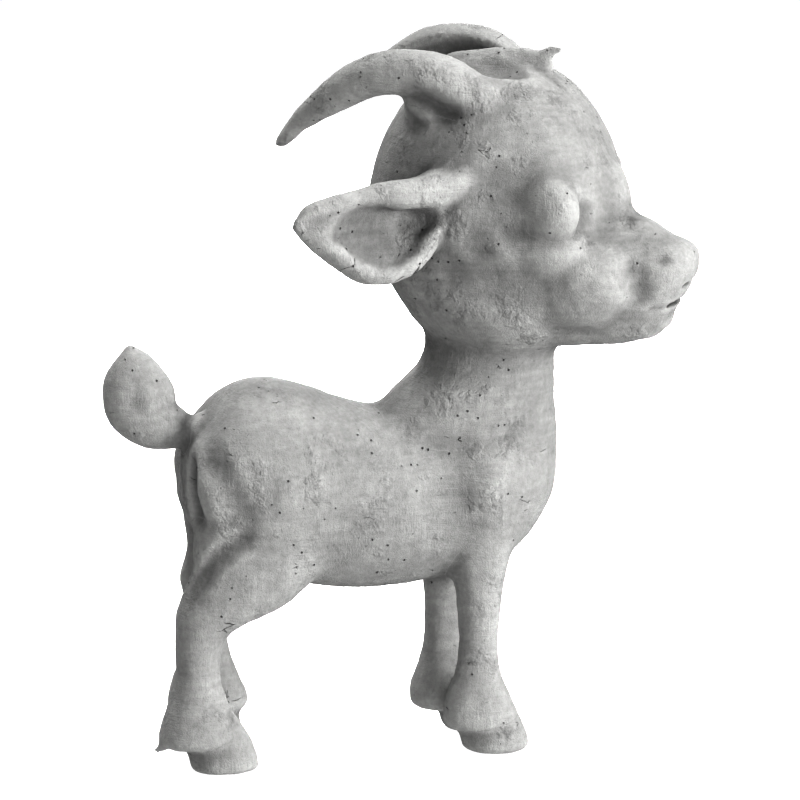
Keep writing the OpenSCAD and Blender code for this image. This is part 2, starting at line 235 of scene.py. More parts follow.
def lump(node):
    """A copy of one of the frame's lumps, with its loose triangles merged."""
    copy = bpy.data.objects.new("clay_" + node, nodes[node].data.copy())
    bpy.context.scene.collection.objects.link(copy)
    in_edit_mode(copy, bpy.ops.mesh.remove_doubles, threshold=MERGE * MM)
    return copy


def joined(things, name):
    """Lay several lumps together as one object."""
    only(things[0])
    for thing in things[1:]:
        thing.select_set(True)
    if len(things) > 1:
        bpy.ops.object.join()
    whole = bpy.context.object
    whole.name = name
    return whole


def place_mesh(thing, matrix):
    """Move a shape's mesh, so that its object stays at the origin."""
    thing.data.transform(matrix)
    if matrix.determinant() < 0:
        thing.data.flip_normals()
    thing.matrix_world = Matrix.Identity(4)
    return thing


print("lumps can be copied from", list(nodes)[:4], "and the rest")

# %% [markdown]
# A ball keeps its three half sizes, and may be turned. A roll runs from one point to another, and
# several rolls in a row make a bent one. Cutting uses the same shapes as tools.

# %% Balls and rolls
def stretched_sphere(frame_of, place, turned, half_sizes, segments, rings):
    """A sphere stretched, turned and placed in the axes of frame_of, in millimetres."""
    bpy.ops.object.select_all(action="DESELECT")
    bpy.ops.mesh.primitive_uv_sphere_add(segments=segments, ring_count=rings, radius=1)
    stretch = Matrix.Diagonal([size * MM for size in half_sizes] + [1])
    spot = Matrix.Translation(Vector(place) * MM)
    return place_mesh(bpy.context.object, frame_of @ spot @ turned @ stretch)


def ball(frame_of, place, half_sizes, turn=(0, 0, 0)):
    """A ball of clay; turn is in degrees about X, then Y, then Z."""
    about_x, about_y, about_z = [Matrix.Rotation(math.radians(angle), 4, axis)
                                 for angle, axis in zip(turn, "XYZ")]
    return stretched_sphere(frame_of, place, about_z @ about_y @ about_x, half_sizes, 32, 20)


def roll(frame_of, start, end, thick):
    """A roll of clay lying from start to end; thick is its radius."""
    start, end = Vector(start), Vector(end)
    along = end - start
    spin = along.to_track_quat("X", "Z").to_matrix().to_4x4()
    half_sizes = (along.length / 2 + thick, thick, thick)
    return stretched_sphere(frame_of, (start + end) / 2, spin, half_sizes, 24, 16)


def rolls(frame_of, points, thick):
    """A bent roll through several points."""
    return [roll(frame_of, a, b, thick) for a, b in zip(points, points[1:])]


def cut(thing, tool):
    """Cut a tool's shape out of the clay."""
    apply(thing, "BOOLEAN", operation="DIFFERENCE", solver="MANIFOLD", object=tool)
    bpy.data.objects.remove(tool)


def cut_all(thing, tools):
    """Cut several tools' shapes out of the clay."""
    for tool in tools:
        cut(thing, tool)


def fused(things, name, grain):
    """Lumps pressed together until no seam is left; grain is the finest detail kept."""
    whole = joined(things, name)
    apply(whole, "REMESH", mode="VOXEL", voxel_size=grain * MM)
    return whole


print("shapes: lump, ball, roll")

# %% [markdown]
# ## Fingers
# Pressing moves the clay near one place, most at the middle and nothing at the edge of the finger.
# A stroke is many small presses along a path. A wet finger smooths: each vertex moves towards its
# neighbours, and a vertex group says how much. This is what the sculpt brushes do, but it gives the
# same result at every run.

# %% Fingers
SPREAD = 3.2                # overlapping presses of a stroke add up to about this much
STEPS_IN_REACH = 3
FAINT = 0.02                # a smaller weight than this does nothing


def coordinates(mesh, name="co"):
    """A mesh's vertex places (or normals) as rows of numbers."""
    values = np.empty(len(mesh.vertices) * 3)
    mesh.vertices.foreach_get(name, values)
    return values.reshape(-1, 3)


def press(thing, place, move, reach):
    """Press the clay at one place by move, in metres, fading out at reach, in millimetres."""
    co = coordinates(thing.data)
    nearest = co[np.argmin(((co - np.array(place)) ** 2).sum(1))]
    near = np.clip(1 - ((co - nearest) ** 2).sum(1) / (reach * MM) ** 2, 0, 1) ** 2
    thing.data.vertices.foreach_set("co", (co + near[:, None] * np.array(move)).ravel())
    thing.data.update()


def stroke(thing, points, move, reach):
    """Draw a finger through the points, pressing the clay by move at the middle of its track."""
    step = reach * MM / STEPS_IN_REACH
    for start, end in zip(points, points[1:]):
        count = max(1, round((end - start).length / step))
        for i in range(count):
            press(thing, start.lerp(end, (i + 0.5) / count), move / SPREAD, reach)


def wet_smooth(thing, weight, times):
    """Smooth the clay, each vertex by its own weight."""
    group = thing.vertex_groups.new(name="wet")
    for i in np.nonzero(weight > FAINT)[0]:
        group.add([int(i)], float(weight[i]), "REPLACE")
    apply(thing, "SMOOTH", factor=0.5, iterations=times, vertex_group="wet")
    thing.vertex_groups.clear()


def smooth_near(thing, spots, times):
    """Smooth near some spots, each a place in metres and a reach in millimetres."""
    co = coordinates(thing.data)
    weight = np.zeros(len(co))
    for place, reach in spots:
        distance = np.linalg.norm(co - np.array(place), axis=1) / (reach * MM)
        weight = np.maximum(weight, np.clip(1.6 * (1 - distance), 0, 1))
    wet_smooth(thing, weight, times)


print("fingers: press, stroke, smooth")

# %% [markdown]
# ## The body
# The barrel, neck, head and legs come first. The frame's lumps are plain, so extra balls fill the
# buttocks, hips, shoulders, breast, cheeks and the bridge of the nose, where a maker would add clay.
# All of it is then remeshed into one skin, which is the same as blending the joins with a thumb.

# %% Body lumps
BASE_GRAIN = 1.6
BASE_NODES = ["torso", "neck", "head",
              "right_foreleg", "left_foreleg", "right_hind_leg", "left_hind_leg",
              "right_fore_hoof", "left_fore_hoof", "right_hind_hoof", "left_hind_hoof"]
UNDER_EYE_X = {RIGHT: 22, LEFT: 18}

fat = []
for side in (RIGHT, LEFT):
    fat += [
        ball(body_frame, (-53, side * 13, 89), (10, 12, 21), (0, -12, 0)),              # buttock
        ball(body_frame, (-38, side * 15, 86), (19, 14, 27), (0, -10, 0)),              # hip
        ball(body_frame, (35, side * 12, 84), (12, 11, 26), (0, 4, 0)),                 # shoulder
        ball(head_frame, (33, side * 15.5, -20.5), (20, 14, 15), (0, 0, side * -14)),   # cheek
        ball(head_frame, (UNDER_EYE_X[side], side * 21, 4), (15, 13, 15))]              # under the eye
fat += [
    ball(body_frame, (33, 0, 108), (23, 19, 22)),           # breast, under the neck
    ball(head_frame, (36, 0, -9), (22, 12, 8.5)),           # bridge of the nose
    ball(head_frame, (29, 0, 3), (16.5, 12, 17))]           # between the eyes
skin = fused([lump(node) for node in BASE_NODES] + fat, "skin", BASE_GRAIN)
print("body:", len(skin.data.polygons), "faces")

# %% [markdown]
# The blended skin is smoothed, most on the body and little at the feet, so the clefts of the hooves
# stay sharp. Two presses on each side give the hollow beside the nose and the temple, and one
# subdivision makes the skin fine enough for the next, smaller lumps.

# %% Body smoothing
height = coordinates(skin.data)[:, 2] / MM
wet_smooth(skin, np.clip((height - 12) / 14, 0.12, 1), 14)
for side in (RIGHT, LEFT):
    for place, move, reach in (((41, side * 25, 1), (-2.5, side * -2.5, 0), 9),         # beside the nose
                               ((18, side * 36, 15), (0, side * -2, 0), 14)):           # temple
        press(skin, in_head(*place), (head_turned @ Vector(move)) * MM, reach)
apply(skin, "SUBSURF", levels=1, render_levels=1)
bpy.ops.object.shade_smooth()
print("smoothed and subdivided:", len(skin.data.polygons), "faces")

# %% [markdown]
# ## The ears
# An ear is a leaf of clay with a rolled rim, folded so that it makes a cup. It is easiest to shape
# in its own axes: out from the head, the way it faces, and up. The cup is cut with two balls, and
# rolls then thicken the rim, the top edge and the fold, and a stalk joins the ear to the head.

# %% Ears
EAR_GRAIN = 0.9
EAR_DROP = 1.6


def ear_frame(side):
    """The axes of an ear, at its root."""
    out = Vector((-0.78, side * 0.62, -0.1)).normalized()
    facing = Vector((0.62, side * 0.78, 0)).normalized()
    up = out.cross(facing) * -side
    axes = Matrix((out, facing, up)).transposed().to_4x4()
    return head_frame @ Matrix.Translation(Vector((2, side * 32, 15)) * MM) @ axes


def ear(side, node):
    """One ear, as a fused lump."""
    lay = ear_frame(side)
    leaf = place_mesh(lump(node), Matrix.Translation(lay.to_3x3() @ Vector((0, 0, -EAR_DROP * MM))))
    leaf = fused([leaf, ball(lay, (27, -3, -12), (22, 7, 13.5))], node, 1.2)
    cut_all(leaf, [ball(lay, (30, 7, -13), (19, 10, 11.5), (0, -12, 0)),
                   ball(lay, (19, 7, -12), (10, 11.5, 7.5))])
    rim = [(13.5, 1, -17), (18.5, 1.5, -23), (26, 2, -26.2), (33.5, 2, -25.8),
           (41, 1.8, -20.8), (47.5, 1, -13.2), (52, 0, -5.5)]
    top = [(9, 1, -2.2), (26, 2, -1.2)]
    fold = [(24, 2, -1.2), (36, 1.8, 0.2), (45, 1, -0.2), (53, 0, -1.8)]
    stalk = roll(lay, (0, -4, -1.5), (15, 0, -2.4), 6.4)
    whole = fused([leaf, stalk] + rolls(lay, rim, 3) + rolls(lay, top, 5) + rolls(lay, fold, 2.9),
                  node, EAR_GRAIN)
    apply(whole, "SMOOTH", factor=0.5, iterations=8)
    return whole


ears = {side: ear(side, node) for side, node in ((RIGHT, "right_ear"), (LEFT, "left_ear"))}
print("ears:", [len(thing.data.polygons) for thing in ears.values()], "faces")

# %% [markdown]
# ## The horns
# A horn is one tapered roll bent back over the head. Its inner side is hollowed, which is done by
# cutting with a copy of the same horn moved inwards. The near tip is drawn out a little longer.
# At the root the clay is gathered into a thick foot with a fold behind it.

# %% Horns
HORN_GRAIN = 0.9
HORN_TIP = ((-56, -23, 29), (-65, -22.5, 20.2))


def horn(side, node):
    """One horn, as a fused lump."""
    tip = [roll(head_frame, *HORN_TIP, 2.7)] if side == RIGHT else []
    whole = fused([lump(node)] + tip, node, HORN_GRAIN)
    hollow_tool = place_mesh(lump(node), Matrix.Translation(
        (head_turned @ Vector((0, side * -10.3, -2.5))) * MM))
    apply(hollow_tool, "REMESH", mode="VOXEL", voxel_size=1 * MM)
    cut(whole, hollow_tool)
    apply(whole, "SMOOTH", factor=0.5, iterations=6)
    return whole


def horn_root(side):
    """The thick foot of a horn and the fold behind it."""
    foot = rolls(head_frame, [(-18, side * 21.5, 38), (-6, side * 23.5, 31)], 6)
    fold = rolls(head_frame, [(-20.5, side * 22, 33), (-16.5, side * 24, 29), (-10, side * 26.5, 27)], 2.4)
    return foot + fold + [ball(head_frame, (1, side * 19, 35), (12, 9, 9))]


horns = {side: horn(side, node) for side, node in ((RIGHT, "right_horn"), (LEFT, "left_horn"))}
print("horns:", [len(thing.data.polygons) for thing in horns.values()], "faces")

# %% [markdown]
# ## The face
# The eyes are blank balls pressed into sockets. The socket is cut a little forward of the ball, and
# that leaves the crease at the front of the eye. Smaller balls fill the cheeks, the clay under the
# eyes, the lips and the chin. The far eye sits a little further back than the near one.

# %% Eyes and face
EYE_BACK = {RIGHT: 0, LEFT: -4.5}


def eye_ball(side, more=0):
    """The eye's ball of clay; more makes it larger all round."""
    half_sizes = (13.4 + more, 9.2 + more, 12 + more)
    return ball(head_frame, (24.5 + EYE_BACK[side], side * 25, 4.5), half_sizes, (0, 0, side * 28))


def face_hollows(side):
    """Tools for the eye socket, the hollow before the eye, and the dip beside the forelock."""
    back = EYE_BACK[side]
    return [ball(head_frame, (34 + back, side * 28, 3), (6.5, 6, 9.5)),
            ball(head_frame, (44 + back, side * 27, 1), (5, 5, 9)),
            roll(head_frame, (-12, side * 10, 47.8), (16, side * 9.8, 46.8), 6)]


def face_lumps(side):
    """The eye, the cheek, the clay under the eye, and half of the upper lip."""
    return [eye_ball(side),
            ball(head_frame, (31, side * 16.5, -18), (15, 13.5, 12)),
            ball(head_frame, (23.5 + EYE_BACK[side], side * 22, -9.5), (15, 12.5, 11.5)),
            ball(head_frame, (56.5, side * 5, -22), (6.5, 6.5, 5.6))]


added = []
for side in (RIGHT, LEFT):
    cut_all(skin, face_hollows(side))
    added += face_lumps(side) + horn_root(side) + [horns[side], ears[side]]
added += [ball(head_frame, (52.5, 0, -34.5), (6.5, 9, 4.6)),        # lower lip
          ball(head_frame, (48, 0, -35.5), (9, 10, 6.3))]           # chin
print("lumps added to the head:", len(added))

# %% [markdown]
# ## The forelock
# The forelock is a thin crest of clay on the crown that ends in a small point over the forehead.
# A flat ball makes its wall, and a row of thinner rolls makes the crest and the point.

# %% Forelock
crest = [(-15, 0, 45.2), (-5, 0, 48), (5, 0, 49), (15, 0, 48.6)]
lock = fused([ball(head_frame, (1, 0, 44.6), (20, 3.8, 5))] + rolls(head_frame, crest, 1.8)
             + [roll(head_frame, (13, 0, 47.4), (18.5, 0, 47.8), 2),
                roll(head_frame, (16, 0, 48.6), (22.6, 0, 50.6), 1.6)], "lock", 0.6)
added.append(lock)
print("forelock:", len(lock.data.polygons), "faces")

# %% [markdown]
# ## The tail
# The tail is a turned-up leaf on a short stub. Its upper edge is filled out with rolls, the side is
# scooped very lightly, and a collar of clay is pressed round the stub where it meets the rump.

# %% Tail
upper_edge = [(-79, 0, 131.5), (-74, 0, 124.5), (-68, 0, 115.5)]
tail = fused([lump("tail")] + rolls(body_frame, upper_edge, 3.8), "tail_lump", 0.9)
cut(tail, ball(body_frame, (-80, -13, 121.5), (8.5, 6.4, 14.5), (0, -4, 0)))
added += [tail,
          ball(body_frame, (-57.6, -3.5, 108.4), (4.8, 6.2, 6.2)),              # collar
          roll(body_frame, (-72, 0, 115.5), (-62, 0, 109.5), 4.6)]              # stub
print("tail:", len(tail.data.polygons), "faces")

# %% [markdown]
# ## The rump and the dewclaw
# Under the tail two fleshy ridges run down to the thighs. They are bent rolls of different weight,
# because the goat stands with one hind leg further back. A tiny roll makes the dewclaw.

# %% Rump
near_ridge = [(-56, -16.5, 100), (-54.5, -18.5, 88), (-49.5, -20, 75)]
far_ridge = [(-59, 8, 101), (-58, 9.5, 88), (-51, 12, 74)]
added += rolls(body_frame, near_ridge, 5) + rolls(body_frame, far_ridge, 6)
added.append(roll(body_frame, (-72, -18, 9.6), (-75.8, -18, 8.1), 1.4))         # dewclaw
print("lumps added in all:", len(added))

# %% [markdown]
# ## Pressing it all together
# Everything is fused into one fine skin, and the nostrils are poked in. A second remesh cleans the
# edges that the cutting left, and a light smoothing takes off the steps.

# %% Fuse
SKIN_GRAIN = 0.8
skin = fused([skin] + added, "skin", SKIN_GRAIN)
for side in (RIGHT, LEFT):
    cut(skin, ball(head_frame, (61, side * 13.2, -12.6), (6, 3.2, 2.8), (0, 12, 0)))
apply(skin, "REMESH", mode="VOXEL", voxel_size=SKIN_GRAIN * MM)
apply(skin, "SMOOTH", factor=0.5, iterations=4)
print("skin:", len(skin.data.polygons), "faces")

# %% [markdown]
# ## Finger work
# Now the soft shapes are pressed in. Each line gives a place on the right side, how deep the finger
# goes (a minus sign pulls the clay out) and how wide it is. The left side gets the same.

# %% Presses
LEAN_OF_PRESS = 0.2         # a press slides along a little as it goes in
HEAD_PRESSES = (
    (11, 38, 12, 1.6, 11), (8, 38, -2, 1.6, 11),                                    # behind the temple
    (18.5, 36, -2, 1.5, 6.5), (14, 37, 3, 0.8, 7),                                  # behind the eye
    (4, 34, -16, 2.6, 15), (16, 33, -21, 2.2, 13), (-8, 30, -14, 1.6, 14),          # under the jaw
    (48, 17, -18, 2.2, 8), (53, 15, -23, 1.2, 6), (44, 20, -12, 1, 7),              # corner of the mouth
    (-6, 28, 33, 2.6, 7), (-11, 28, 37.5, 2.6, 7), (-17, 28, 41.5, 1.8, 7))         # groove of the horn
BODY_PRESSES = (
    (-31, 27, 92, -1.2, 14), (36, 24, 96, -1.2, 16), (36, 24, 84, -0.8, 14),        # hip and shoulder
    (20, 27, 96, 2, 16), (19, 27, 82, 2, 15), (-17, 27, 76, 1.2, 14))               # hollows between them
# paths over the rump: the place, then how the finger presses, then how wide it is
VALLEY_STROKES = (
    (((-63.5, 14, 102), (-61.5, 15.5, 92), (-58, 17, 82)), (2.4, -2.4, 0), 5.5),
    (((-59.5, 21, 106), (-55, 24, 98), (-50.5, 27, 87.6), (-48.2, 28, 81.6)), (0.6, -2, 0), 8),
    (((-69, 23, 58.5), (-63.7, 23, 64.5), (-56.1, 25, 72.1), (-48, 28, 78)), (0.5, -2, 0.5), 5.5))

for side in (RIGHT, LEFT):
    for x, y, z, deep, reach in HEAD_PRESSES:
        move = head_turned @ Vector((-deep * LEAN_OF_PRESS, side * -deep, 0))
        press(skin, in_head(x, side * y, z), move * MM, reach)
    for x, y, z, deep, reach in BODY_PRESSES:
        press(skin, from_body(x, side * y, z), Vector((deep * LEAN_OF_PRESS, side * -deep, 0)) * MM, reach)
    for path, (along, inwards, up), reach in VALLEY_STROKES:
        points = [from_body(x, side * y, z) for x, y, z in path]
        stroke(skin, points, Vector((along, side * inwards, up)) * MM, reach)
print("pressed:", 2 * (len(HEAD_PRESSES) + len(BODY_PRESSES) + len(VALLEY_STROKES)), "times")

# %% [markdown]
# A wet finger then goes over the joins of the horns, cheeks and ear stalks, and longest behind and
# above the eyes. That sinks the ball of the eye into the face and leaves only its front edge clear.

# %% Wet finger
JOINS = (((4, 22, 40), 17), ((1, 36, 15), 12), ((38, 24, -16), 13), ((27, 31, -14), 15),
         ((15, 34, 13), 13), ((0, 11, 43), 13), ((23, 35, -6), 9))
BEHIND_EYE = (((11, 34, 6), 10), ((20, 33, 16), 8), ((24, 34, -7), 7))

spots = [(in_head(x, side * y, z), reach) for side in (RIGHT, LEFT) for (x, y, z), reach in JOINS]
spots += [(ear_frame(side) @ (Vector((15, 3, -2)) * MM), 10) for side in (RIGHT, LEFT)]
spots.append((from_body(-57, -13, 78), 8))
smooth_near(skin, spots, 30)
eye_spots = [(in_head(x + EYE_BACK[side], side * y, z), reach)
             for side in (RIGHT, LEFT) for (x, y, z), reach in BEHIND_EYE]
smooth_near(skin, eye_spots, 70)
print("smoothed at", len(spots) + len(eye_spots), "spots")

# %% [markdown]
# ## The mouth
# The crisp marks are cut last, so that no smoothing takes them away: the mouth, with a thin flat
# ball as the blade, and the notch under the nose.

# %% Mouth
LAST_GRAIN = 0.75
cut_all(skin, [ball(head_frame, (59, 0, -28.6), (11, 18, 0.95)),
               ball(head_frame, (67, 0, -22.6), (5.8, 9, 1.3))])
apply(skin, "REMESH", mode="VOXEL", voxel_size=LAST_GRAIN * MM)
apply(skin, "SMOOTH", factor=0.5, iterations=2)
print("skin:", len(skin.data.polygons), "faces")

# %% [markdown]
# ## Hand-worked relief
# Pressed clay is never even. Wide soft lumps come from fingers and smaller ones from the tool, and
# the tool's drags run level or upright. Each is a cloud pattern that really moves the surface, so
# it shows in the outline as well. An empty sets the pattern's scale, and is removed afterwards.

# %% Relief
RULER_PLACE = (0.0137, 0.0071, 0.0023)


def relief(thing, name, size, depth, stretch=(1, 1, 1)):
    """Raise and sink the clay by a cloud pattern: size and depth in millimetres."""
    cloud = bpy.data.textures.new(name, "CLOUDS")
    cloud.noise_scale = size * MM
    cloud.noise_depth = 2
    bpy.ops.object.empty_add(location=RULER_PLACE)
    ruler = bpy.context.object
    ruler.scale = stretch
    bpy.context.view_layer.update()
    apply(thing, "DISPLACE", texture=cloud, texture_coords="OBJECT", texture_coords_object=ruler,
          strength=depth * MM, mid_level=0.5)
    bpy.data.objects.remove(ruler)


relief(skin, "finger_lumps", 16, 0.8)
relief(skin, "tool_lumps", 5, 0.28)
relief(skin, "level_drags", 2.2, 0.24, (9, 9, 1))
relief(skin, "upright_drags", 2.2, 0.2, (1, 1, 9))
print("lowest point:", round(coordinates(skin.data)[:, 2].min() / MM, 2), "mm")

# %% [markdown]
# The clay's colour gets painted shade in the hollows and painted light on the ridges. To find them,
# each vertex is compared with a blurred copy of the surface, once closely and once widely, and the
# difference is stored on the mesh. Last, the soles are cut flat at floor level.

# %% Hollows and soles
def hollows(mesh, rounds, full):
    """How far each vertex lies below (+) or above (-) its blurred surroundings; full, in mm, is 1."""
    count = len(mesh.vertices)
    co = coordinates(mesh)
    ends = np.empty(len(mesh.edges) * 2, dtype=np.int64)
    mesh.edges.foreach_get("vertices", ends)
    a, b = ends.reshape(-1, 2).T
    neighbours = np.bincount(np.concatenate((a, b)), minlength=count)
    blurred = co.copy()
    for _ in range(rounds):
        total = np.stack([np.bincount(a, blurred[b, k], count) + np.bincount(b, blurred[a, k], count)
                          for k in range(3)], axis=1)
        blurred = 0.5 * blurred + 0.5 * total / neighbours[:, None]
    below = ((blurred - co) * coordinates(mesh, "normal")).sum(1) / (full * MM)
    return np.clip(below, -1, 1)


hollow = 0.5 * hollows(skin.data, 10, 0.16) + 0.5 * hollows(skin.data, 60, 0.5)
skin.data.attributes.new("hollow", "FLOAT", "POINT").data.foreach_set("value", hollow)
BLOCK = 0.4
bpy.ops.mesh.primitive_cube_add(size=BLOCK, location=(0, 0, -BLOCK / 2))
cut(skin, bpy.context.object)
print("hollows spread", round(float(hollow.std()), 3))

# %% [markdown]
# ## Making a finish
# A finish is a small tree of nodes. These helpers turn a hex colour to linear light, add a node
# with its settings and links, and give a pattern its scale from a real size in millimetres.

# %% Finish helpers
def srgb(code):
    """A colour written as six hex digits, as the shader wants it."""
    channels = [int(code[i:i + 2], 16) / 255 for i in (0, 2, 4)]
    return tuple(c / 12.92 if c <= 0.04045 else ((c + 0.055) / 1.055) ** 2.4 for c in channels) + (1,)


def add(tree, kind, values=None, **settings):
    """Add a node, with its settings, and values or links for its sockets."""
    made = tree.nodes.new("ShaderNode" + kind)
    for name, value in settings.items():
        setattr(made, name, value)
    for name, value in (values or {}).items():
        socket = made.inputs[name]
        if isinstance(value, bpy.types.NodeSocket):
            tree.links.new(value, socket)
        else:
            socket.default_value = value
    return made


def every(millimetres):
    """The scale of a pattern that repeats every so many millimetres."""
    return 1 / (millimetres * MM)


def finish(name):
    """A new material, its tree and its shader."""
    material = bpy.data.materials.new(name)
    material.use_nodes = True
    return material, material.node_tree, material.node_tree.nodes["Principled BSDF"]


def ramp(tree, value, low, high, out_low=0.0, out_high=1.0):
    """Map low..high of a value to out_low..out_high, held at both ends."""
    return add(tree, "MapRange", {0: value, 1: low, 2: high, 3: out_low, 4: out_high},
               clamp=True).outputs[0]


def maths(tree, operation, first, *others):
    """Combine several values with one operation."""
    for other in others:
        first = add(tree, "Math", {0: first, 1: other}, operation=operation).outputs[0]
    return first


def tint(tree, shader, colour, tone):
    """Give the shader a colour made lighter or darker by tone."""
    grey = add(tree, "CombineColor", {0: tone, 1: tone, 2: tone}).outputs[0]
    mixed = add(tree, "Mix", {6: srgb(colour), 7: grey, "Factor": 1.0},
                data_type="RGBA", blend_type="MULTIPLY")
    tree.links.new(mixed.outputs[2], shader.inputs["Base Color"])


print("a pattern of 2 mm has scale", every(2))

# %% [markdown]
# ## Air-dried clay
# Air-drying clay is fine grey-white earth with a little grit, and it dries matt and chalky. A damp
# tool drags short lines through it, level in some patches and upright in others. Scraped patches
# turn crumbly, bubbles leave pits, and thin places get hairline cracks. The true grit is too fine to
# show, so it is drawn at half a millimetre.

# %% Clay patterns
GRIT = 0.5
DRAG_WIDTH = 0.7
CRUMB = 1.7
PIT_SPACING = 2.6
CRACK_SPACING = 9
CRACK_WANDER = (0.003, 0.003, 0.003)


def noise(tree, place, size, detail=4.0, stretch=(1, 1, 1), distortion=0.0):
    """Cloudy noise whose patches are about size millimetres wide."""
    pulled = add(tree, "Mapping", {"Vector": place, "Scale": stretch}).outputs[0]
    return add(tree, "TexNoise", {"Vector": pulled, "Scale": every(size), "Detail": detail,
                                  "Roughness": 0.6, "Distortion": distortion}).outputs[0]


def tool_marks(tree, place):
    """Level lines and upright lines, each in its own patches."""
    level = maths(tree, "MULTIPLY", noise(tree, place, DRAG_WIDTH, 4, (0.09, 0.09, 1), 0.5),
                  ramp(tree, noise(tree, place, 14, 3), 0.44, 0.6, 0.25, 1.0))
    upright = maths(tree, "MULTIPLY", noise(tree, place, DRAG_WIDTH, 4, (1, 1, 0.1), 0.4),
                    ramp(tree, noise(tree, place, 19, 3, (1, 1, 1), 0.5), 0.5, 0.62, 0.1, 0.9))
    return maths(tree, "ADD", level, upright)


def pits(tree, place):
    """Small round pits left by bubbles, thick in some patches."""
    cells = add(tree, "TexVoronoi", {"Vector": place, "Scale": every(PIT_SPACING)})
    crowd = maths(tree, "MULTIPLY", noise(tree, place, 12, 2), 1.5)
    keep = ramp(tree, maths(tree, "ADD", cells.outputs["Color"], crowd), 1.52, 1.6)
    return maths(tree, "MULTIPLY", ramp(tree, cells.outputs["Distance"], 0.05, 0.17, 1.0, 0.0), keep)


def cracks(tree, place):
    """Short hairline cracks."""
    wander = add(tree, "VectorMath", {0: noise(tree, place, 3.5, 3), 1: CRACK_WANDER},
                 operation="MULTIPLY").outputs[0]
    bent = add(tree, "VectorMath", {0: place, 1: wander}, operation="ADD").outputs[0]
    pulled = add(tree, "Mapping", {"Vector": bent, "Scale": (0.5, 0.5, 1.3)}).outputs[0]
    vein = add(tree, "TexVoronoi", {"Vector": pulled, "Scale": every(CRACK_SPACING)},
               feature="DISTANCE_TO_EDGE").outputs["Distance"]
    return maths(tree, "MULTIPLY", ramp(tree, vein, 0.003, 0.012, 1.0, 0.0),
                 ramp(tree, noise(tree, place, 9, 2), 0.66, 0.72))


print("patterns: grit", GRIT, "mm, drags", DRAG_WIDTH, "mm, crumbs", CRUMB, "mm")

# %% [markdown]
# The patterns drive two things: the height, which bends the light, and the tone. The tone is a cloudy
# mottle, a little lighter along the drag lines, with painted shade in the hollows, the pits, the cracks
# and between the crumbs, and painted light on the ridges. The hooves are of a slightly darker mix of
# the same clay, and were dragged less.

# %% Clay finish
RELIEF_OF_MARKS = 0.8


def clay_finish(name, colour, drag):
    """Dry clay; drag is how strongly the tool marks run."""
    material, tree, shader = finish(name)
    place = add(tree, "TexCoord").outputs["Object"]
    marks = tool_marks(tree, place)
    grain = noise(tree, place, GRIT, 6)
    crumbs = noise(tree, place, CRUMB, 7, (1, 1, 1), 1.2)
    rough_patch = ramp(tree, noise(tree, place, 13, 4), 0.56, 0.68)
    pit, crack = pits(tree, place), cracks(tree, place)

    raised = maths(tree, "ADD", maths(tree, "MULTIPLY", marks, drag), maths(tree, "MULTIPLY", grain, 0.38),
                   maths(tree, "MULTIPLY", crumbs, rough_patch, 1.5))
    sunk = maths(tree, "ADD", maths(tree, "MULTIPLY", pit, 1.6), maths(tree, "MULTIPLY", crack, 1.2))
    bump = add(tree, "Bump", {"Height": maths(tree, "SUBTRACT", raised, sunk), "Strength": 1.0,
                              "Distance": RELIEF_OF_MARKS * MM})
    tree.links.new(bump.outputs[0], shader.inputs["Normal"])

    # the hollow value paints shade into the hollows and light onto the ridges
    below = add(tree, "Attribute", attribute_name="hollow").outputs["Fac"]
    # painted shade: darker in the low spots between the crumbs, in the rough patches
    crumb_shade = maths(tree, "MULTIPLY", ramp(tree, crumbs, 0.4, 0.62, 1.0, 0.0), rough_patch)
    cloudy = maths(tree, "ADD", ramp(tree, noise(tree, place, 22, 3), 0.35, 0.65, 0.93, 1.05),
                   ramp(tree, noise(tree, place, 1.4, 5), 0.3, 0.7, -0.1, 0.1))
    tone = maths(tree, "MULTIPLY", cloudy,
                 ramp(tree, marks, 0.3, 0.8, 0.95, 1.04),
                 ramp(tree, crumb_shade, 0, 1, 1.0, 0.92),
                 # painted shade in the hollows (down to 0.6) and painted light on the ridges (up to 1.2)
                 ramp(tree, below, -1, 1, 1.2, 0.6),
                 # painted shade in the pits and cracks, down to 0.42
                 ramp(tree, maths(tree, "ADD", pit, crack), 0, 1, 1.0, 0.42))
    tint(tree, shader, colour, tone)
    tree.links.new(ramp(tree, grain, 0.3, 0.7, 0.86, 0.98), shader.inputs["Roughness"])
    shader.inputs["Specular IOR Level"].default_value = 0.25
    return material


clay = clay_finish("white_air_dry_clay", "949493", 0.42)
hoof_clay = clay_finish("hoof_clay", "919190", 0.5)
print("finishes:", clay.name, hoof_clay.name)

# %% [markdown]
# ## Back into pieces
# The blended clay is divided where one lump was pressed onto the next, so each lump is still its
# own closed piece. Each is cut out with a slightly swollen copy of its frame lump, small lumps
# first, and what is left at the end is the torso. Loose lumps of clay that the head's tool missed
# go to the head, and slivers are thrown away.

# %% Cutting tools
TOOL_GRAIN = 1.5
SWELL = {"head": 8, "neck": 3.5, "right_ear": 5.5, "left_ear": 5.5}
PLAIN_SWELL = 2.6
EYE_SWELL = 0.5
SLIVER = 60
LUMP_ORDER = ["right_eye", "left_eye", "right_ear", "left_ear", "right_horn", "left_horn",
              "forelock", "tail",
              "right_fore_hoof", "left_fore_hoof", "right_hind_hoof", "left_hind_hoof",
              "right_foreleg", "left_foreleg", "right_hind_leg", "left_hind_leg", "neck", "head"]


def swollen(node, more):
    """A copy of a frame lump made larger all round, in millimetres."""
    tool = lump(node)
    apply(tool, "REMESH", mode="VOXEL", voxel_size=TOOL_GRAIN * MM)
    apply(tool, "DISPLACE", strength=more * MM, mid_level=0)
    apply(tool, "REMESH", mode="VOXEL", voxel_size=TOOL_GRAIN * MM)
    return tool


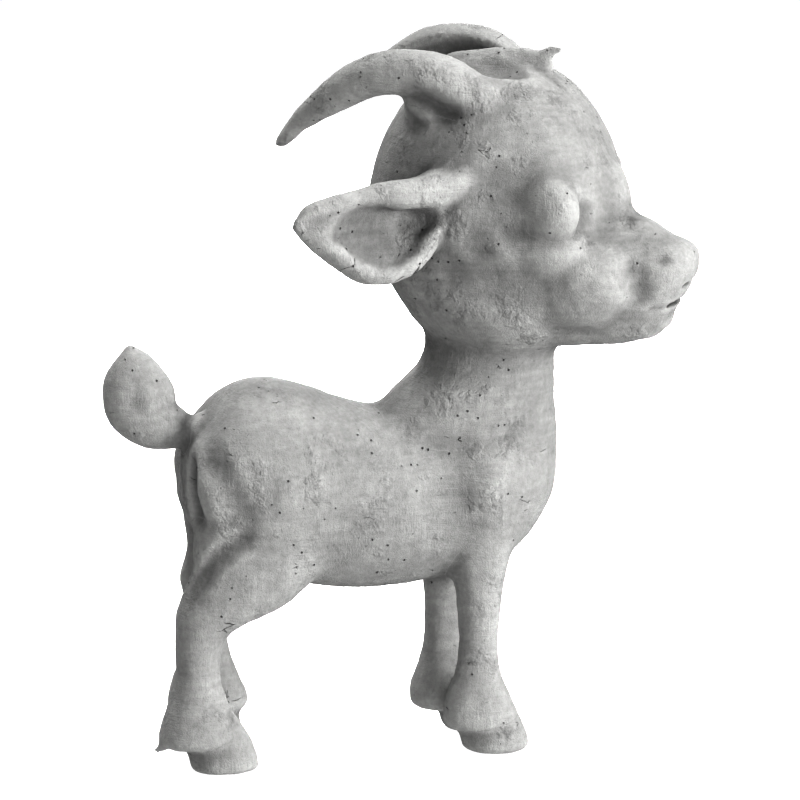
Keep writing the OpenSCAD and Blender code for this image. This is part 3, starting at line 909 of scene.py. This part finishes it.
def piece_tool(node):
    """The tool that cuts one piece out of the skin."""
    if node == "right_eye":
        return eye_ball(RIGHT, EYE_SWELL)
    if node == "left_eye":
        return eye_ball(LEFT, EYE_SWELL)
    return swollen(node, SWELL.get(node, PLAIN_SWELL))


def twin(thing):
    """A copy of an object with its own mesh."""
    copy = thing.copy()
    copy.data = thing.data.copy()
    bpy.context.scene.collection.objects.link(copy)
    return copy


def loose_parts(thing):
    """Take a mesh apart into its loose lumps, largest first, without the slivers."""
    in_edit_mode(thing, bpy.ops.mesh.separate, type="LOOSE")
    parts = sorted(bpy.context.selected_objects, key=lambda part: -len(part.data.polygons))
    kept = [part for part in parts if len(part.data.polygons) >= SLIVER]
    for part in parts[len(kept):]:
        bpy.data.objects.remove(part)
    return kept


print("pieces to cut:", len(LUMP_ORDER))

# %% [markdown]
# Each cut is made twice with the same tool: once keeping what lies inside it, which is the piece,
# and once taking it away from the skin. So neighbours share one surface and never overlap.

# %% Cut the pieces apart
whole_skin = twin(skin)
pieces = {}
for node in LUMP_ORDER:
    tool = piece_tool(node)
    pieces[node] = twin(skin)
    apply(pieces[node], "BOOLEAN", operation="INTERSECT", solver="MANIFOLD", object=tool)
    cut(skin, tool)
trunk, *strays = loose_parts(skin)
pieces["torso"] = trunk
pieces["head"] = joined([pieces["head"]] + strays, "head")
print("pieces:", len(pieces), "and", len(strays), "stray lumps given to the head")

# %% [markdown]
# ## Room for the armature
# The foam cores, rods, pins and wires lie inside the clay. Each leaves its exact hole in every piece
# whose box it reaches.

# %% Hollow the pieces
HIDDEN = ["body_core", "head_core", "neck_rod", "tail_pin", "forelock_pin",
          "right_horn_pin", "left_horn_pin", "right_ear_pin", "left_ear_pin",
          "right_fore_wire", "left_fore_wire", "right_hind_wire", "left_hind_wire"]


def overlap(box_a, box_b):
    """Whether two boxes, each a low and a high corner, share some room."""
    (low_a, high_a), (low_b, high_b) = box_a, box_b
    return all(low_a[k] < high_b[k] and low_b[k] < high_a[k] for k in range(3))


def box_of(thing):
    """The low and high corner of an object at the origin."""
    co = coordinates(thing.data)
    return co.min(0), co.max(0)


for node, piece in pieces.items():
    for inside in HIDDEN:
        if overlap(box_of(piece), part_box(inside)):
            cut(piece, lump(inside))
    pieces[node] = joined(loose_parts(piece), node + "_clay")
print("largest piece:", max(len(piece.data.polygons) for piece in pieces.values()), "faces")

# %% [markdown]
# ## Foam and steel
# Nobody sees the inside, but each part of it has its true finish. Polystyrene foam is pressed from
# beads about 3 mm wide, and their joins show as a net of shallow lines. The pins and the rod are
# bright drawn steel, and the legs hold galvanised wire, which is duller.

# %% Foam and steel
BEAD = 3


def foam_finish():
    """Pressed polystyrene beads."""
    material, tree, shader = finish("polystyrene_foam")
    place = add(tree, "TexCoord").outputs["Object"]
    beads = add(tree, "TexVoronoi", {"Vector": place, "Scale": every(BEAD)}).outputs["Distance"]
    bump = add(tree, "Bump", {"Height": beads, "Strength": 0.6, "Distance": 0.3 * MM}, invert=True)
    tree.links.new(bump.outputs[0], shader.inputs["Normal"])
    tint(tree, shader, "F0EFEA", ramp(tree, beads, 0.2, 0.7, 1.0, 0.82))
    shader.inputs["Roughness"].default_value = 0.75
    return material


def steel_finish(name, colour, rough):
    """Drawn steel: fine lines and a little tarnish."""
    material, tree, shader = finish(name)
    place = add(tree, "TexCoord").outputs["Object"]
    stain = add(tree, "TexNoise", {"Vector": place, "Scale": every(6), "Detail": 5.0}).outputs[0]
    drawn = add(tree, "TexNoise", {"Vector": place, "Scale": every(0.4), "Detail": 2.0}).outputs[0]
    tint(tree, shader, colour, ramp(tree, stain, 0.35, 0.65, 0.75, 1.05))
    tree.links.new(ramp(tree, drawn, 0.3, 0.7, rough - 0.08, rough + 0.12), shader.inputs["Roughness"])
    shader.inputs["Metallic"].default_value = 1.0
    return material


foam = foam_finish()
pin_steel = steel_finish("bright_drawn_steel", "C4C4C2", 0.32)
wire_steel = steel_finish("galvanised_wire", "A9ACAE", 0.45)
print("finishes:", foam.name, pin_steel.name, wire_steel.name)

# %% [markdown]
# ## Dressing every piece
# Each clay piece takes its finish and the place of its frame lump. The shading near a join would
# show as a thin line, so the pieces borrow the normals of the skin as it was before it was cut.

# %% Dress the clay
SHARP = math.radians(60)
BORROW_WITHIN = 0.3

for node, piece in pieces.items():
    is_hoof = node.endswith("hoof")
    piece.data.materials.clear()
    piece.data.materials.append(hoof_clay if is_hoof else clay)
    only(piece)
    bpy.ops.object.shade_smooth_by_angle(angle=SHARP)
    apply(piece, "DATA_TRANSFER", object=whole_skin, use_loop_data=True,
          data_types_loops={"CUSTOM_NORMAL"}, loop_mapping="POLYINTERP_NEAREST",
          use_max_distance=True, max_distance=BORROW_WITHIN * MM)
    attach(piece, "root")
    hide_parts(node)
bpy.data.objects.remove(whole_skin)
print("dressed:", [piece.name for piece in pieces.values()])

# %% [markdown]
# The foam cores, the rod, the pins and the wires are the frame's own, and only take their finish.

# %% Dress the inside
FINISH_OF = {"core": foam, "wire": wire_steel, "rod": pin_steel, "pin": pin_steel}
for node in HIDDEN:
    hidden_mesh = nodes[node].data
    hidden_mesh.materials.clear()
    hidden_mesh.materials.append(FINISH_OF[node.rsplit("_", 1)[1]])
print("inside:", len(HIDDEN), "parts")

# %% [markdown]
# ## The end

# %% End
print("done")
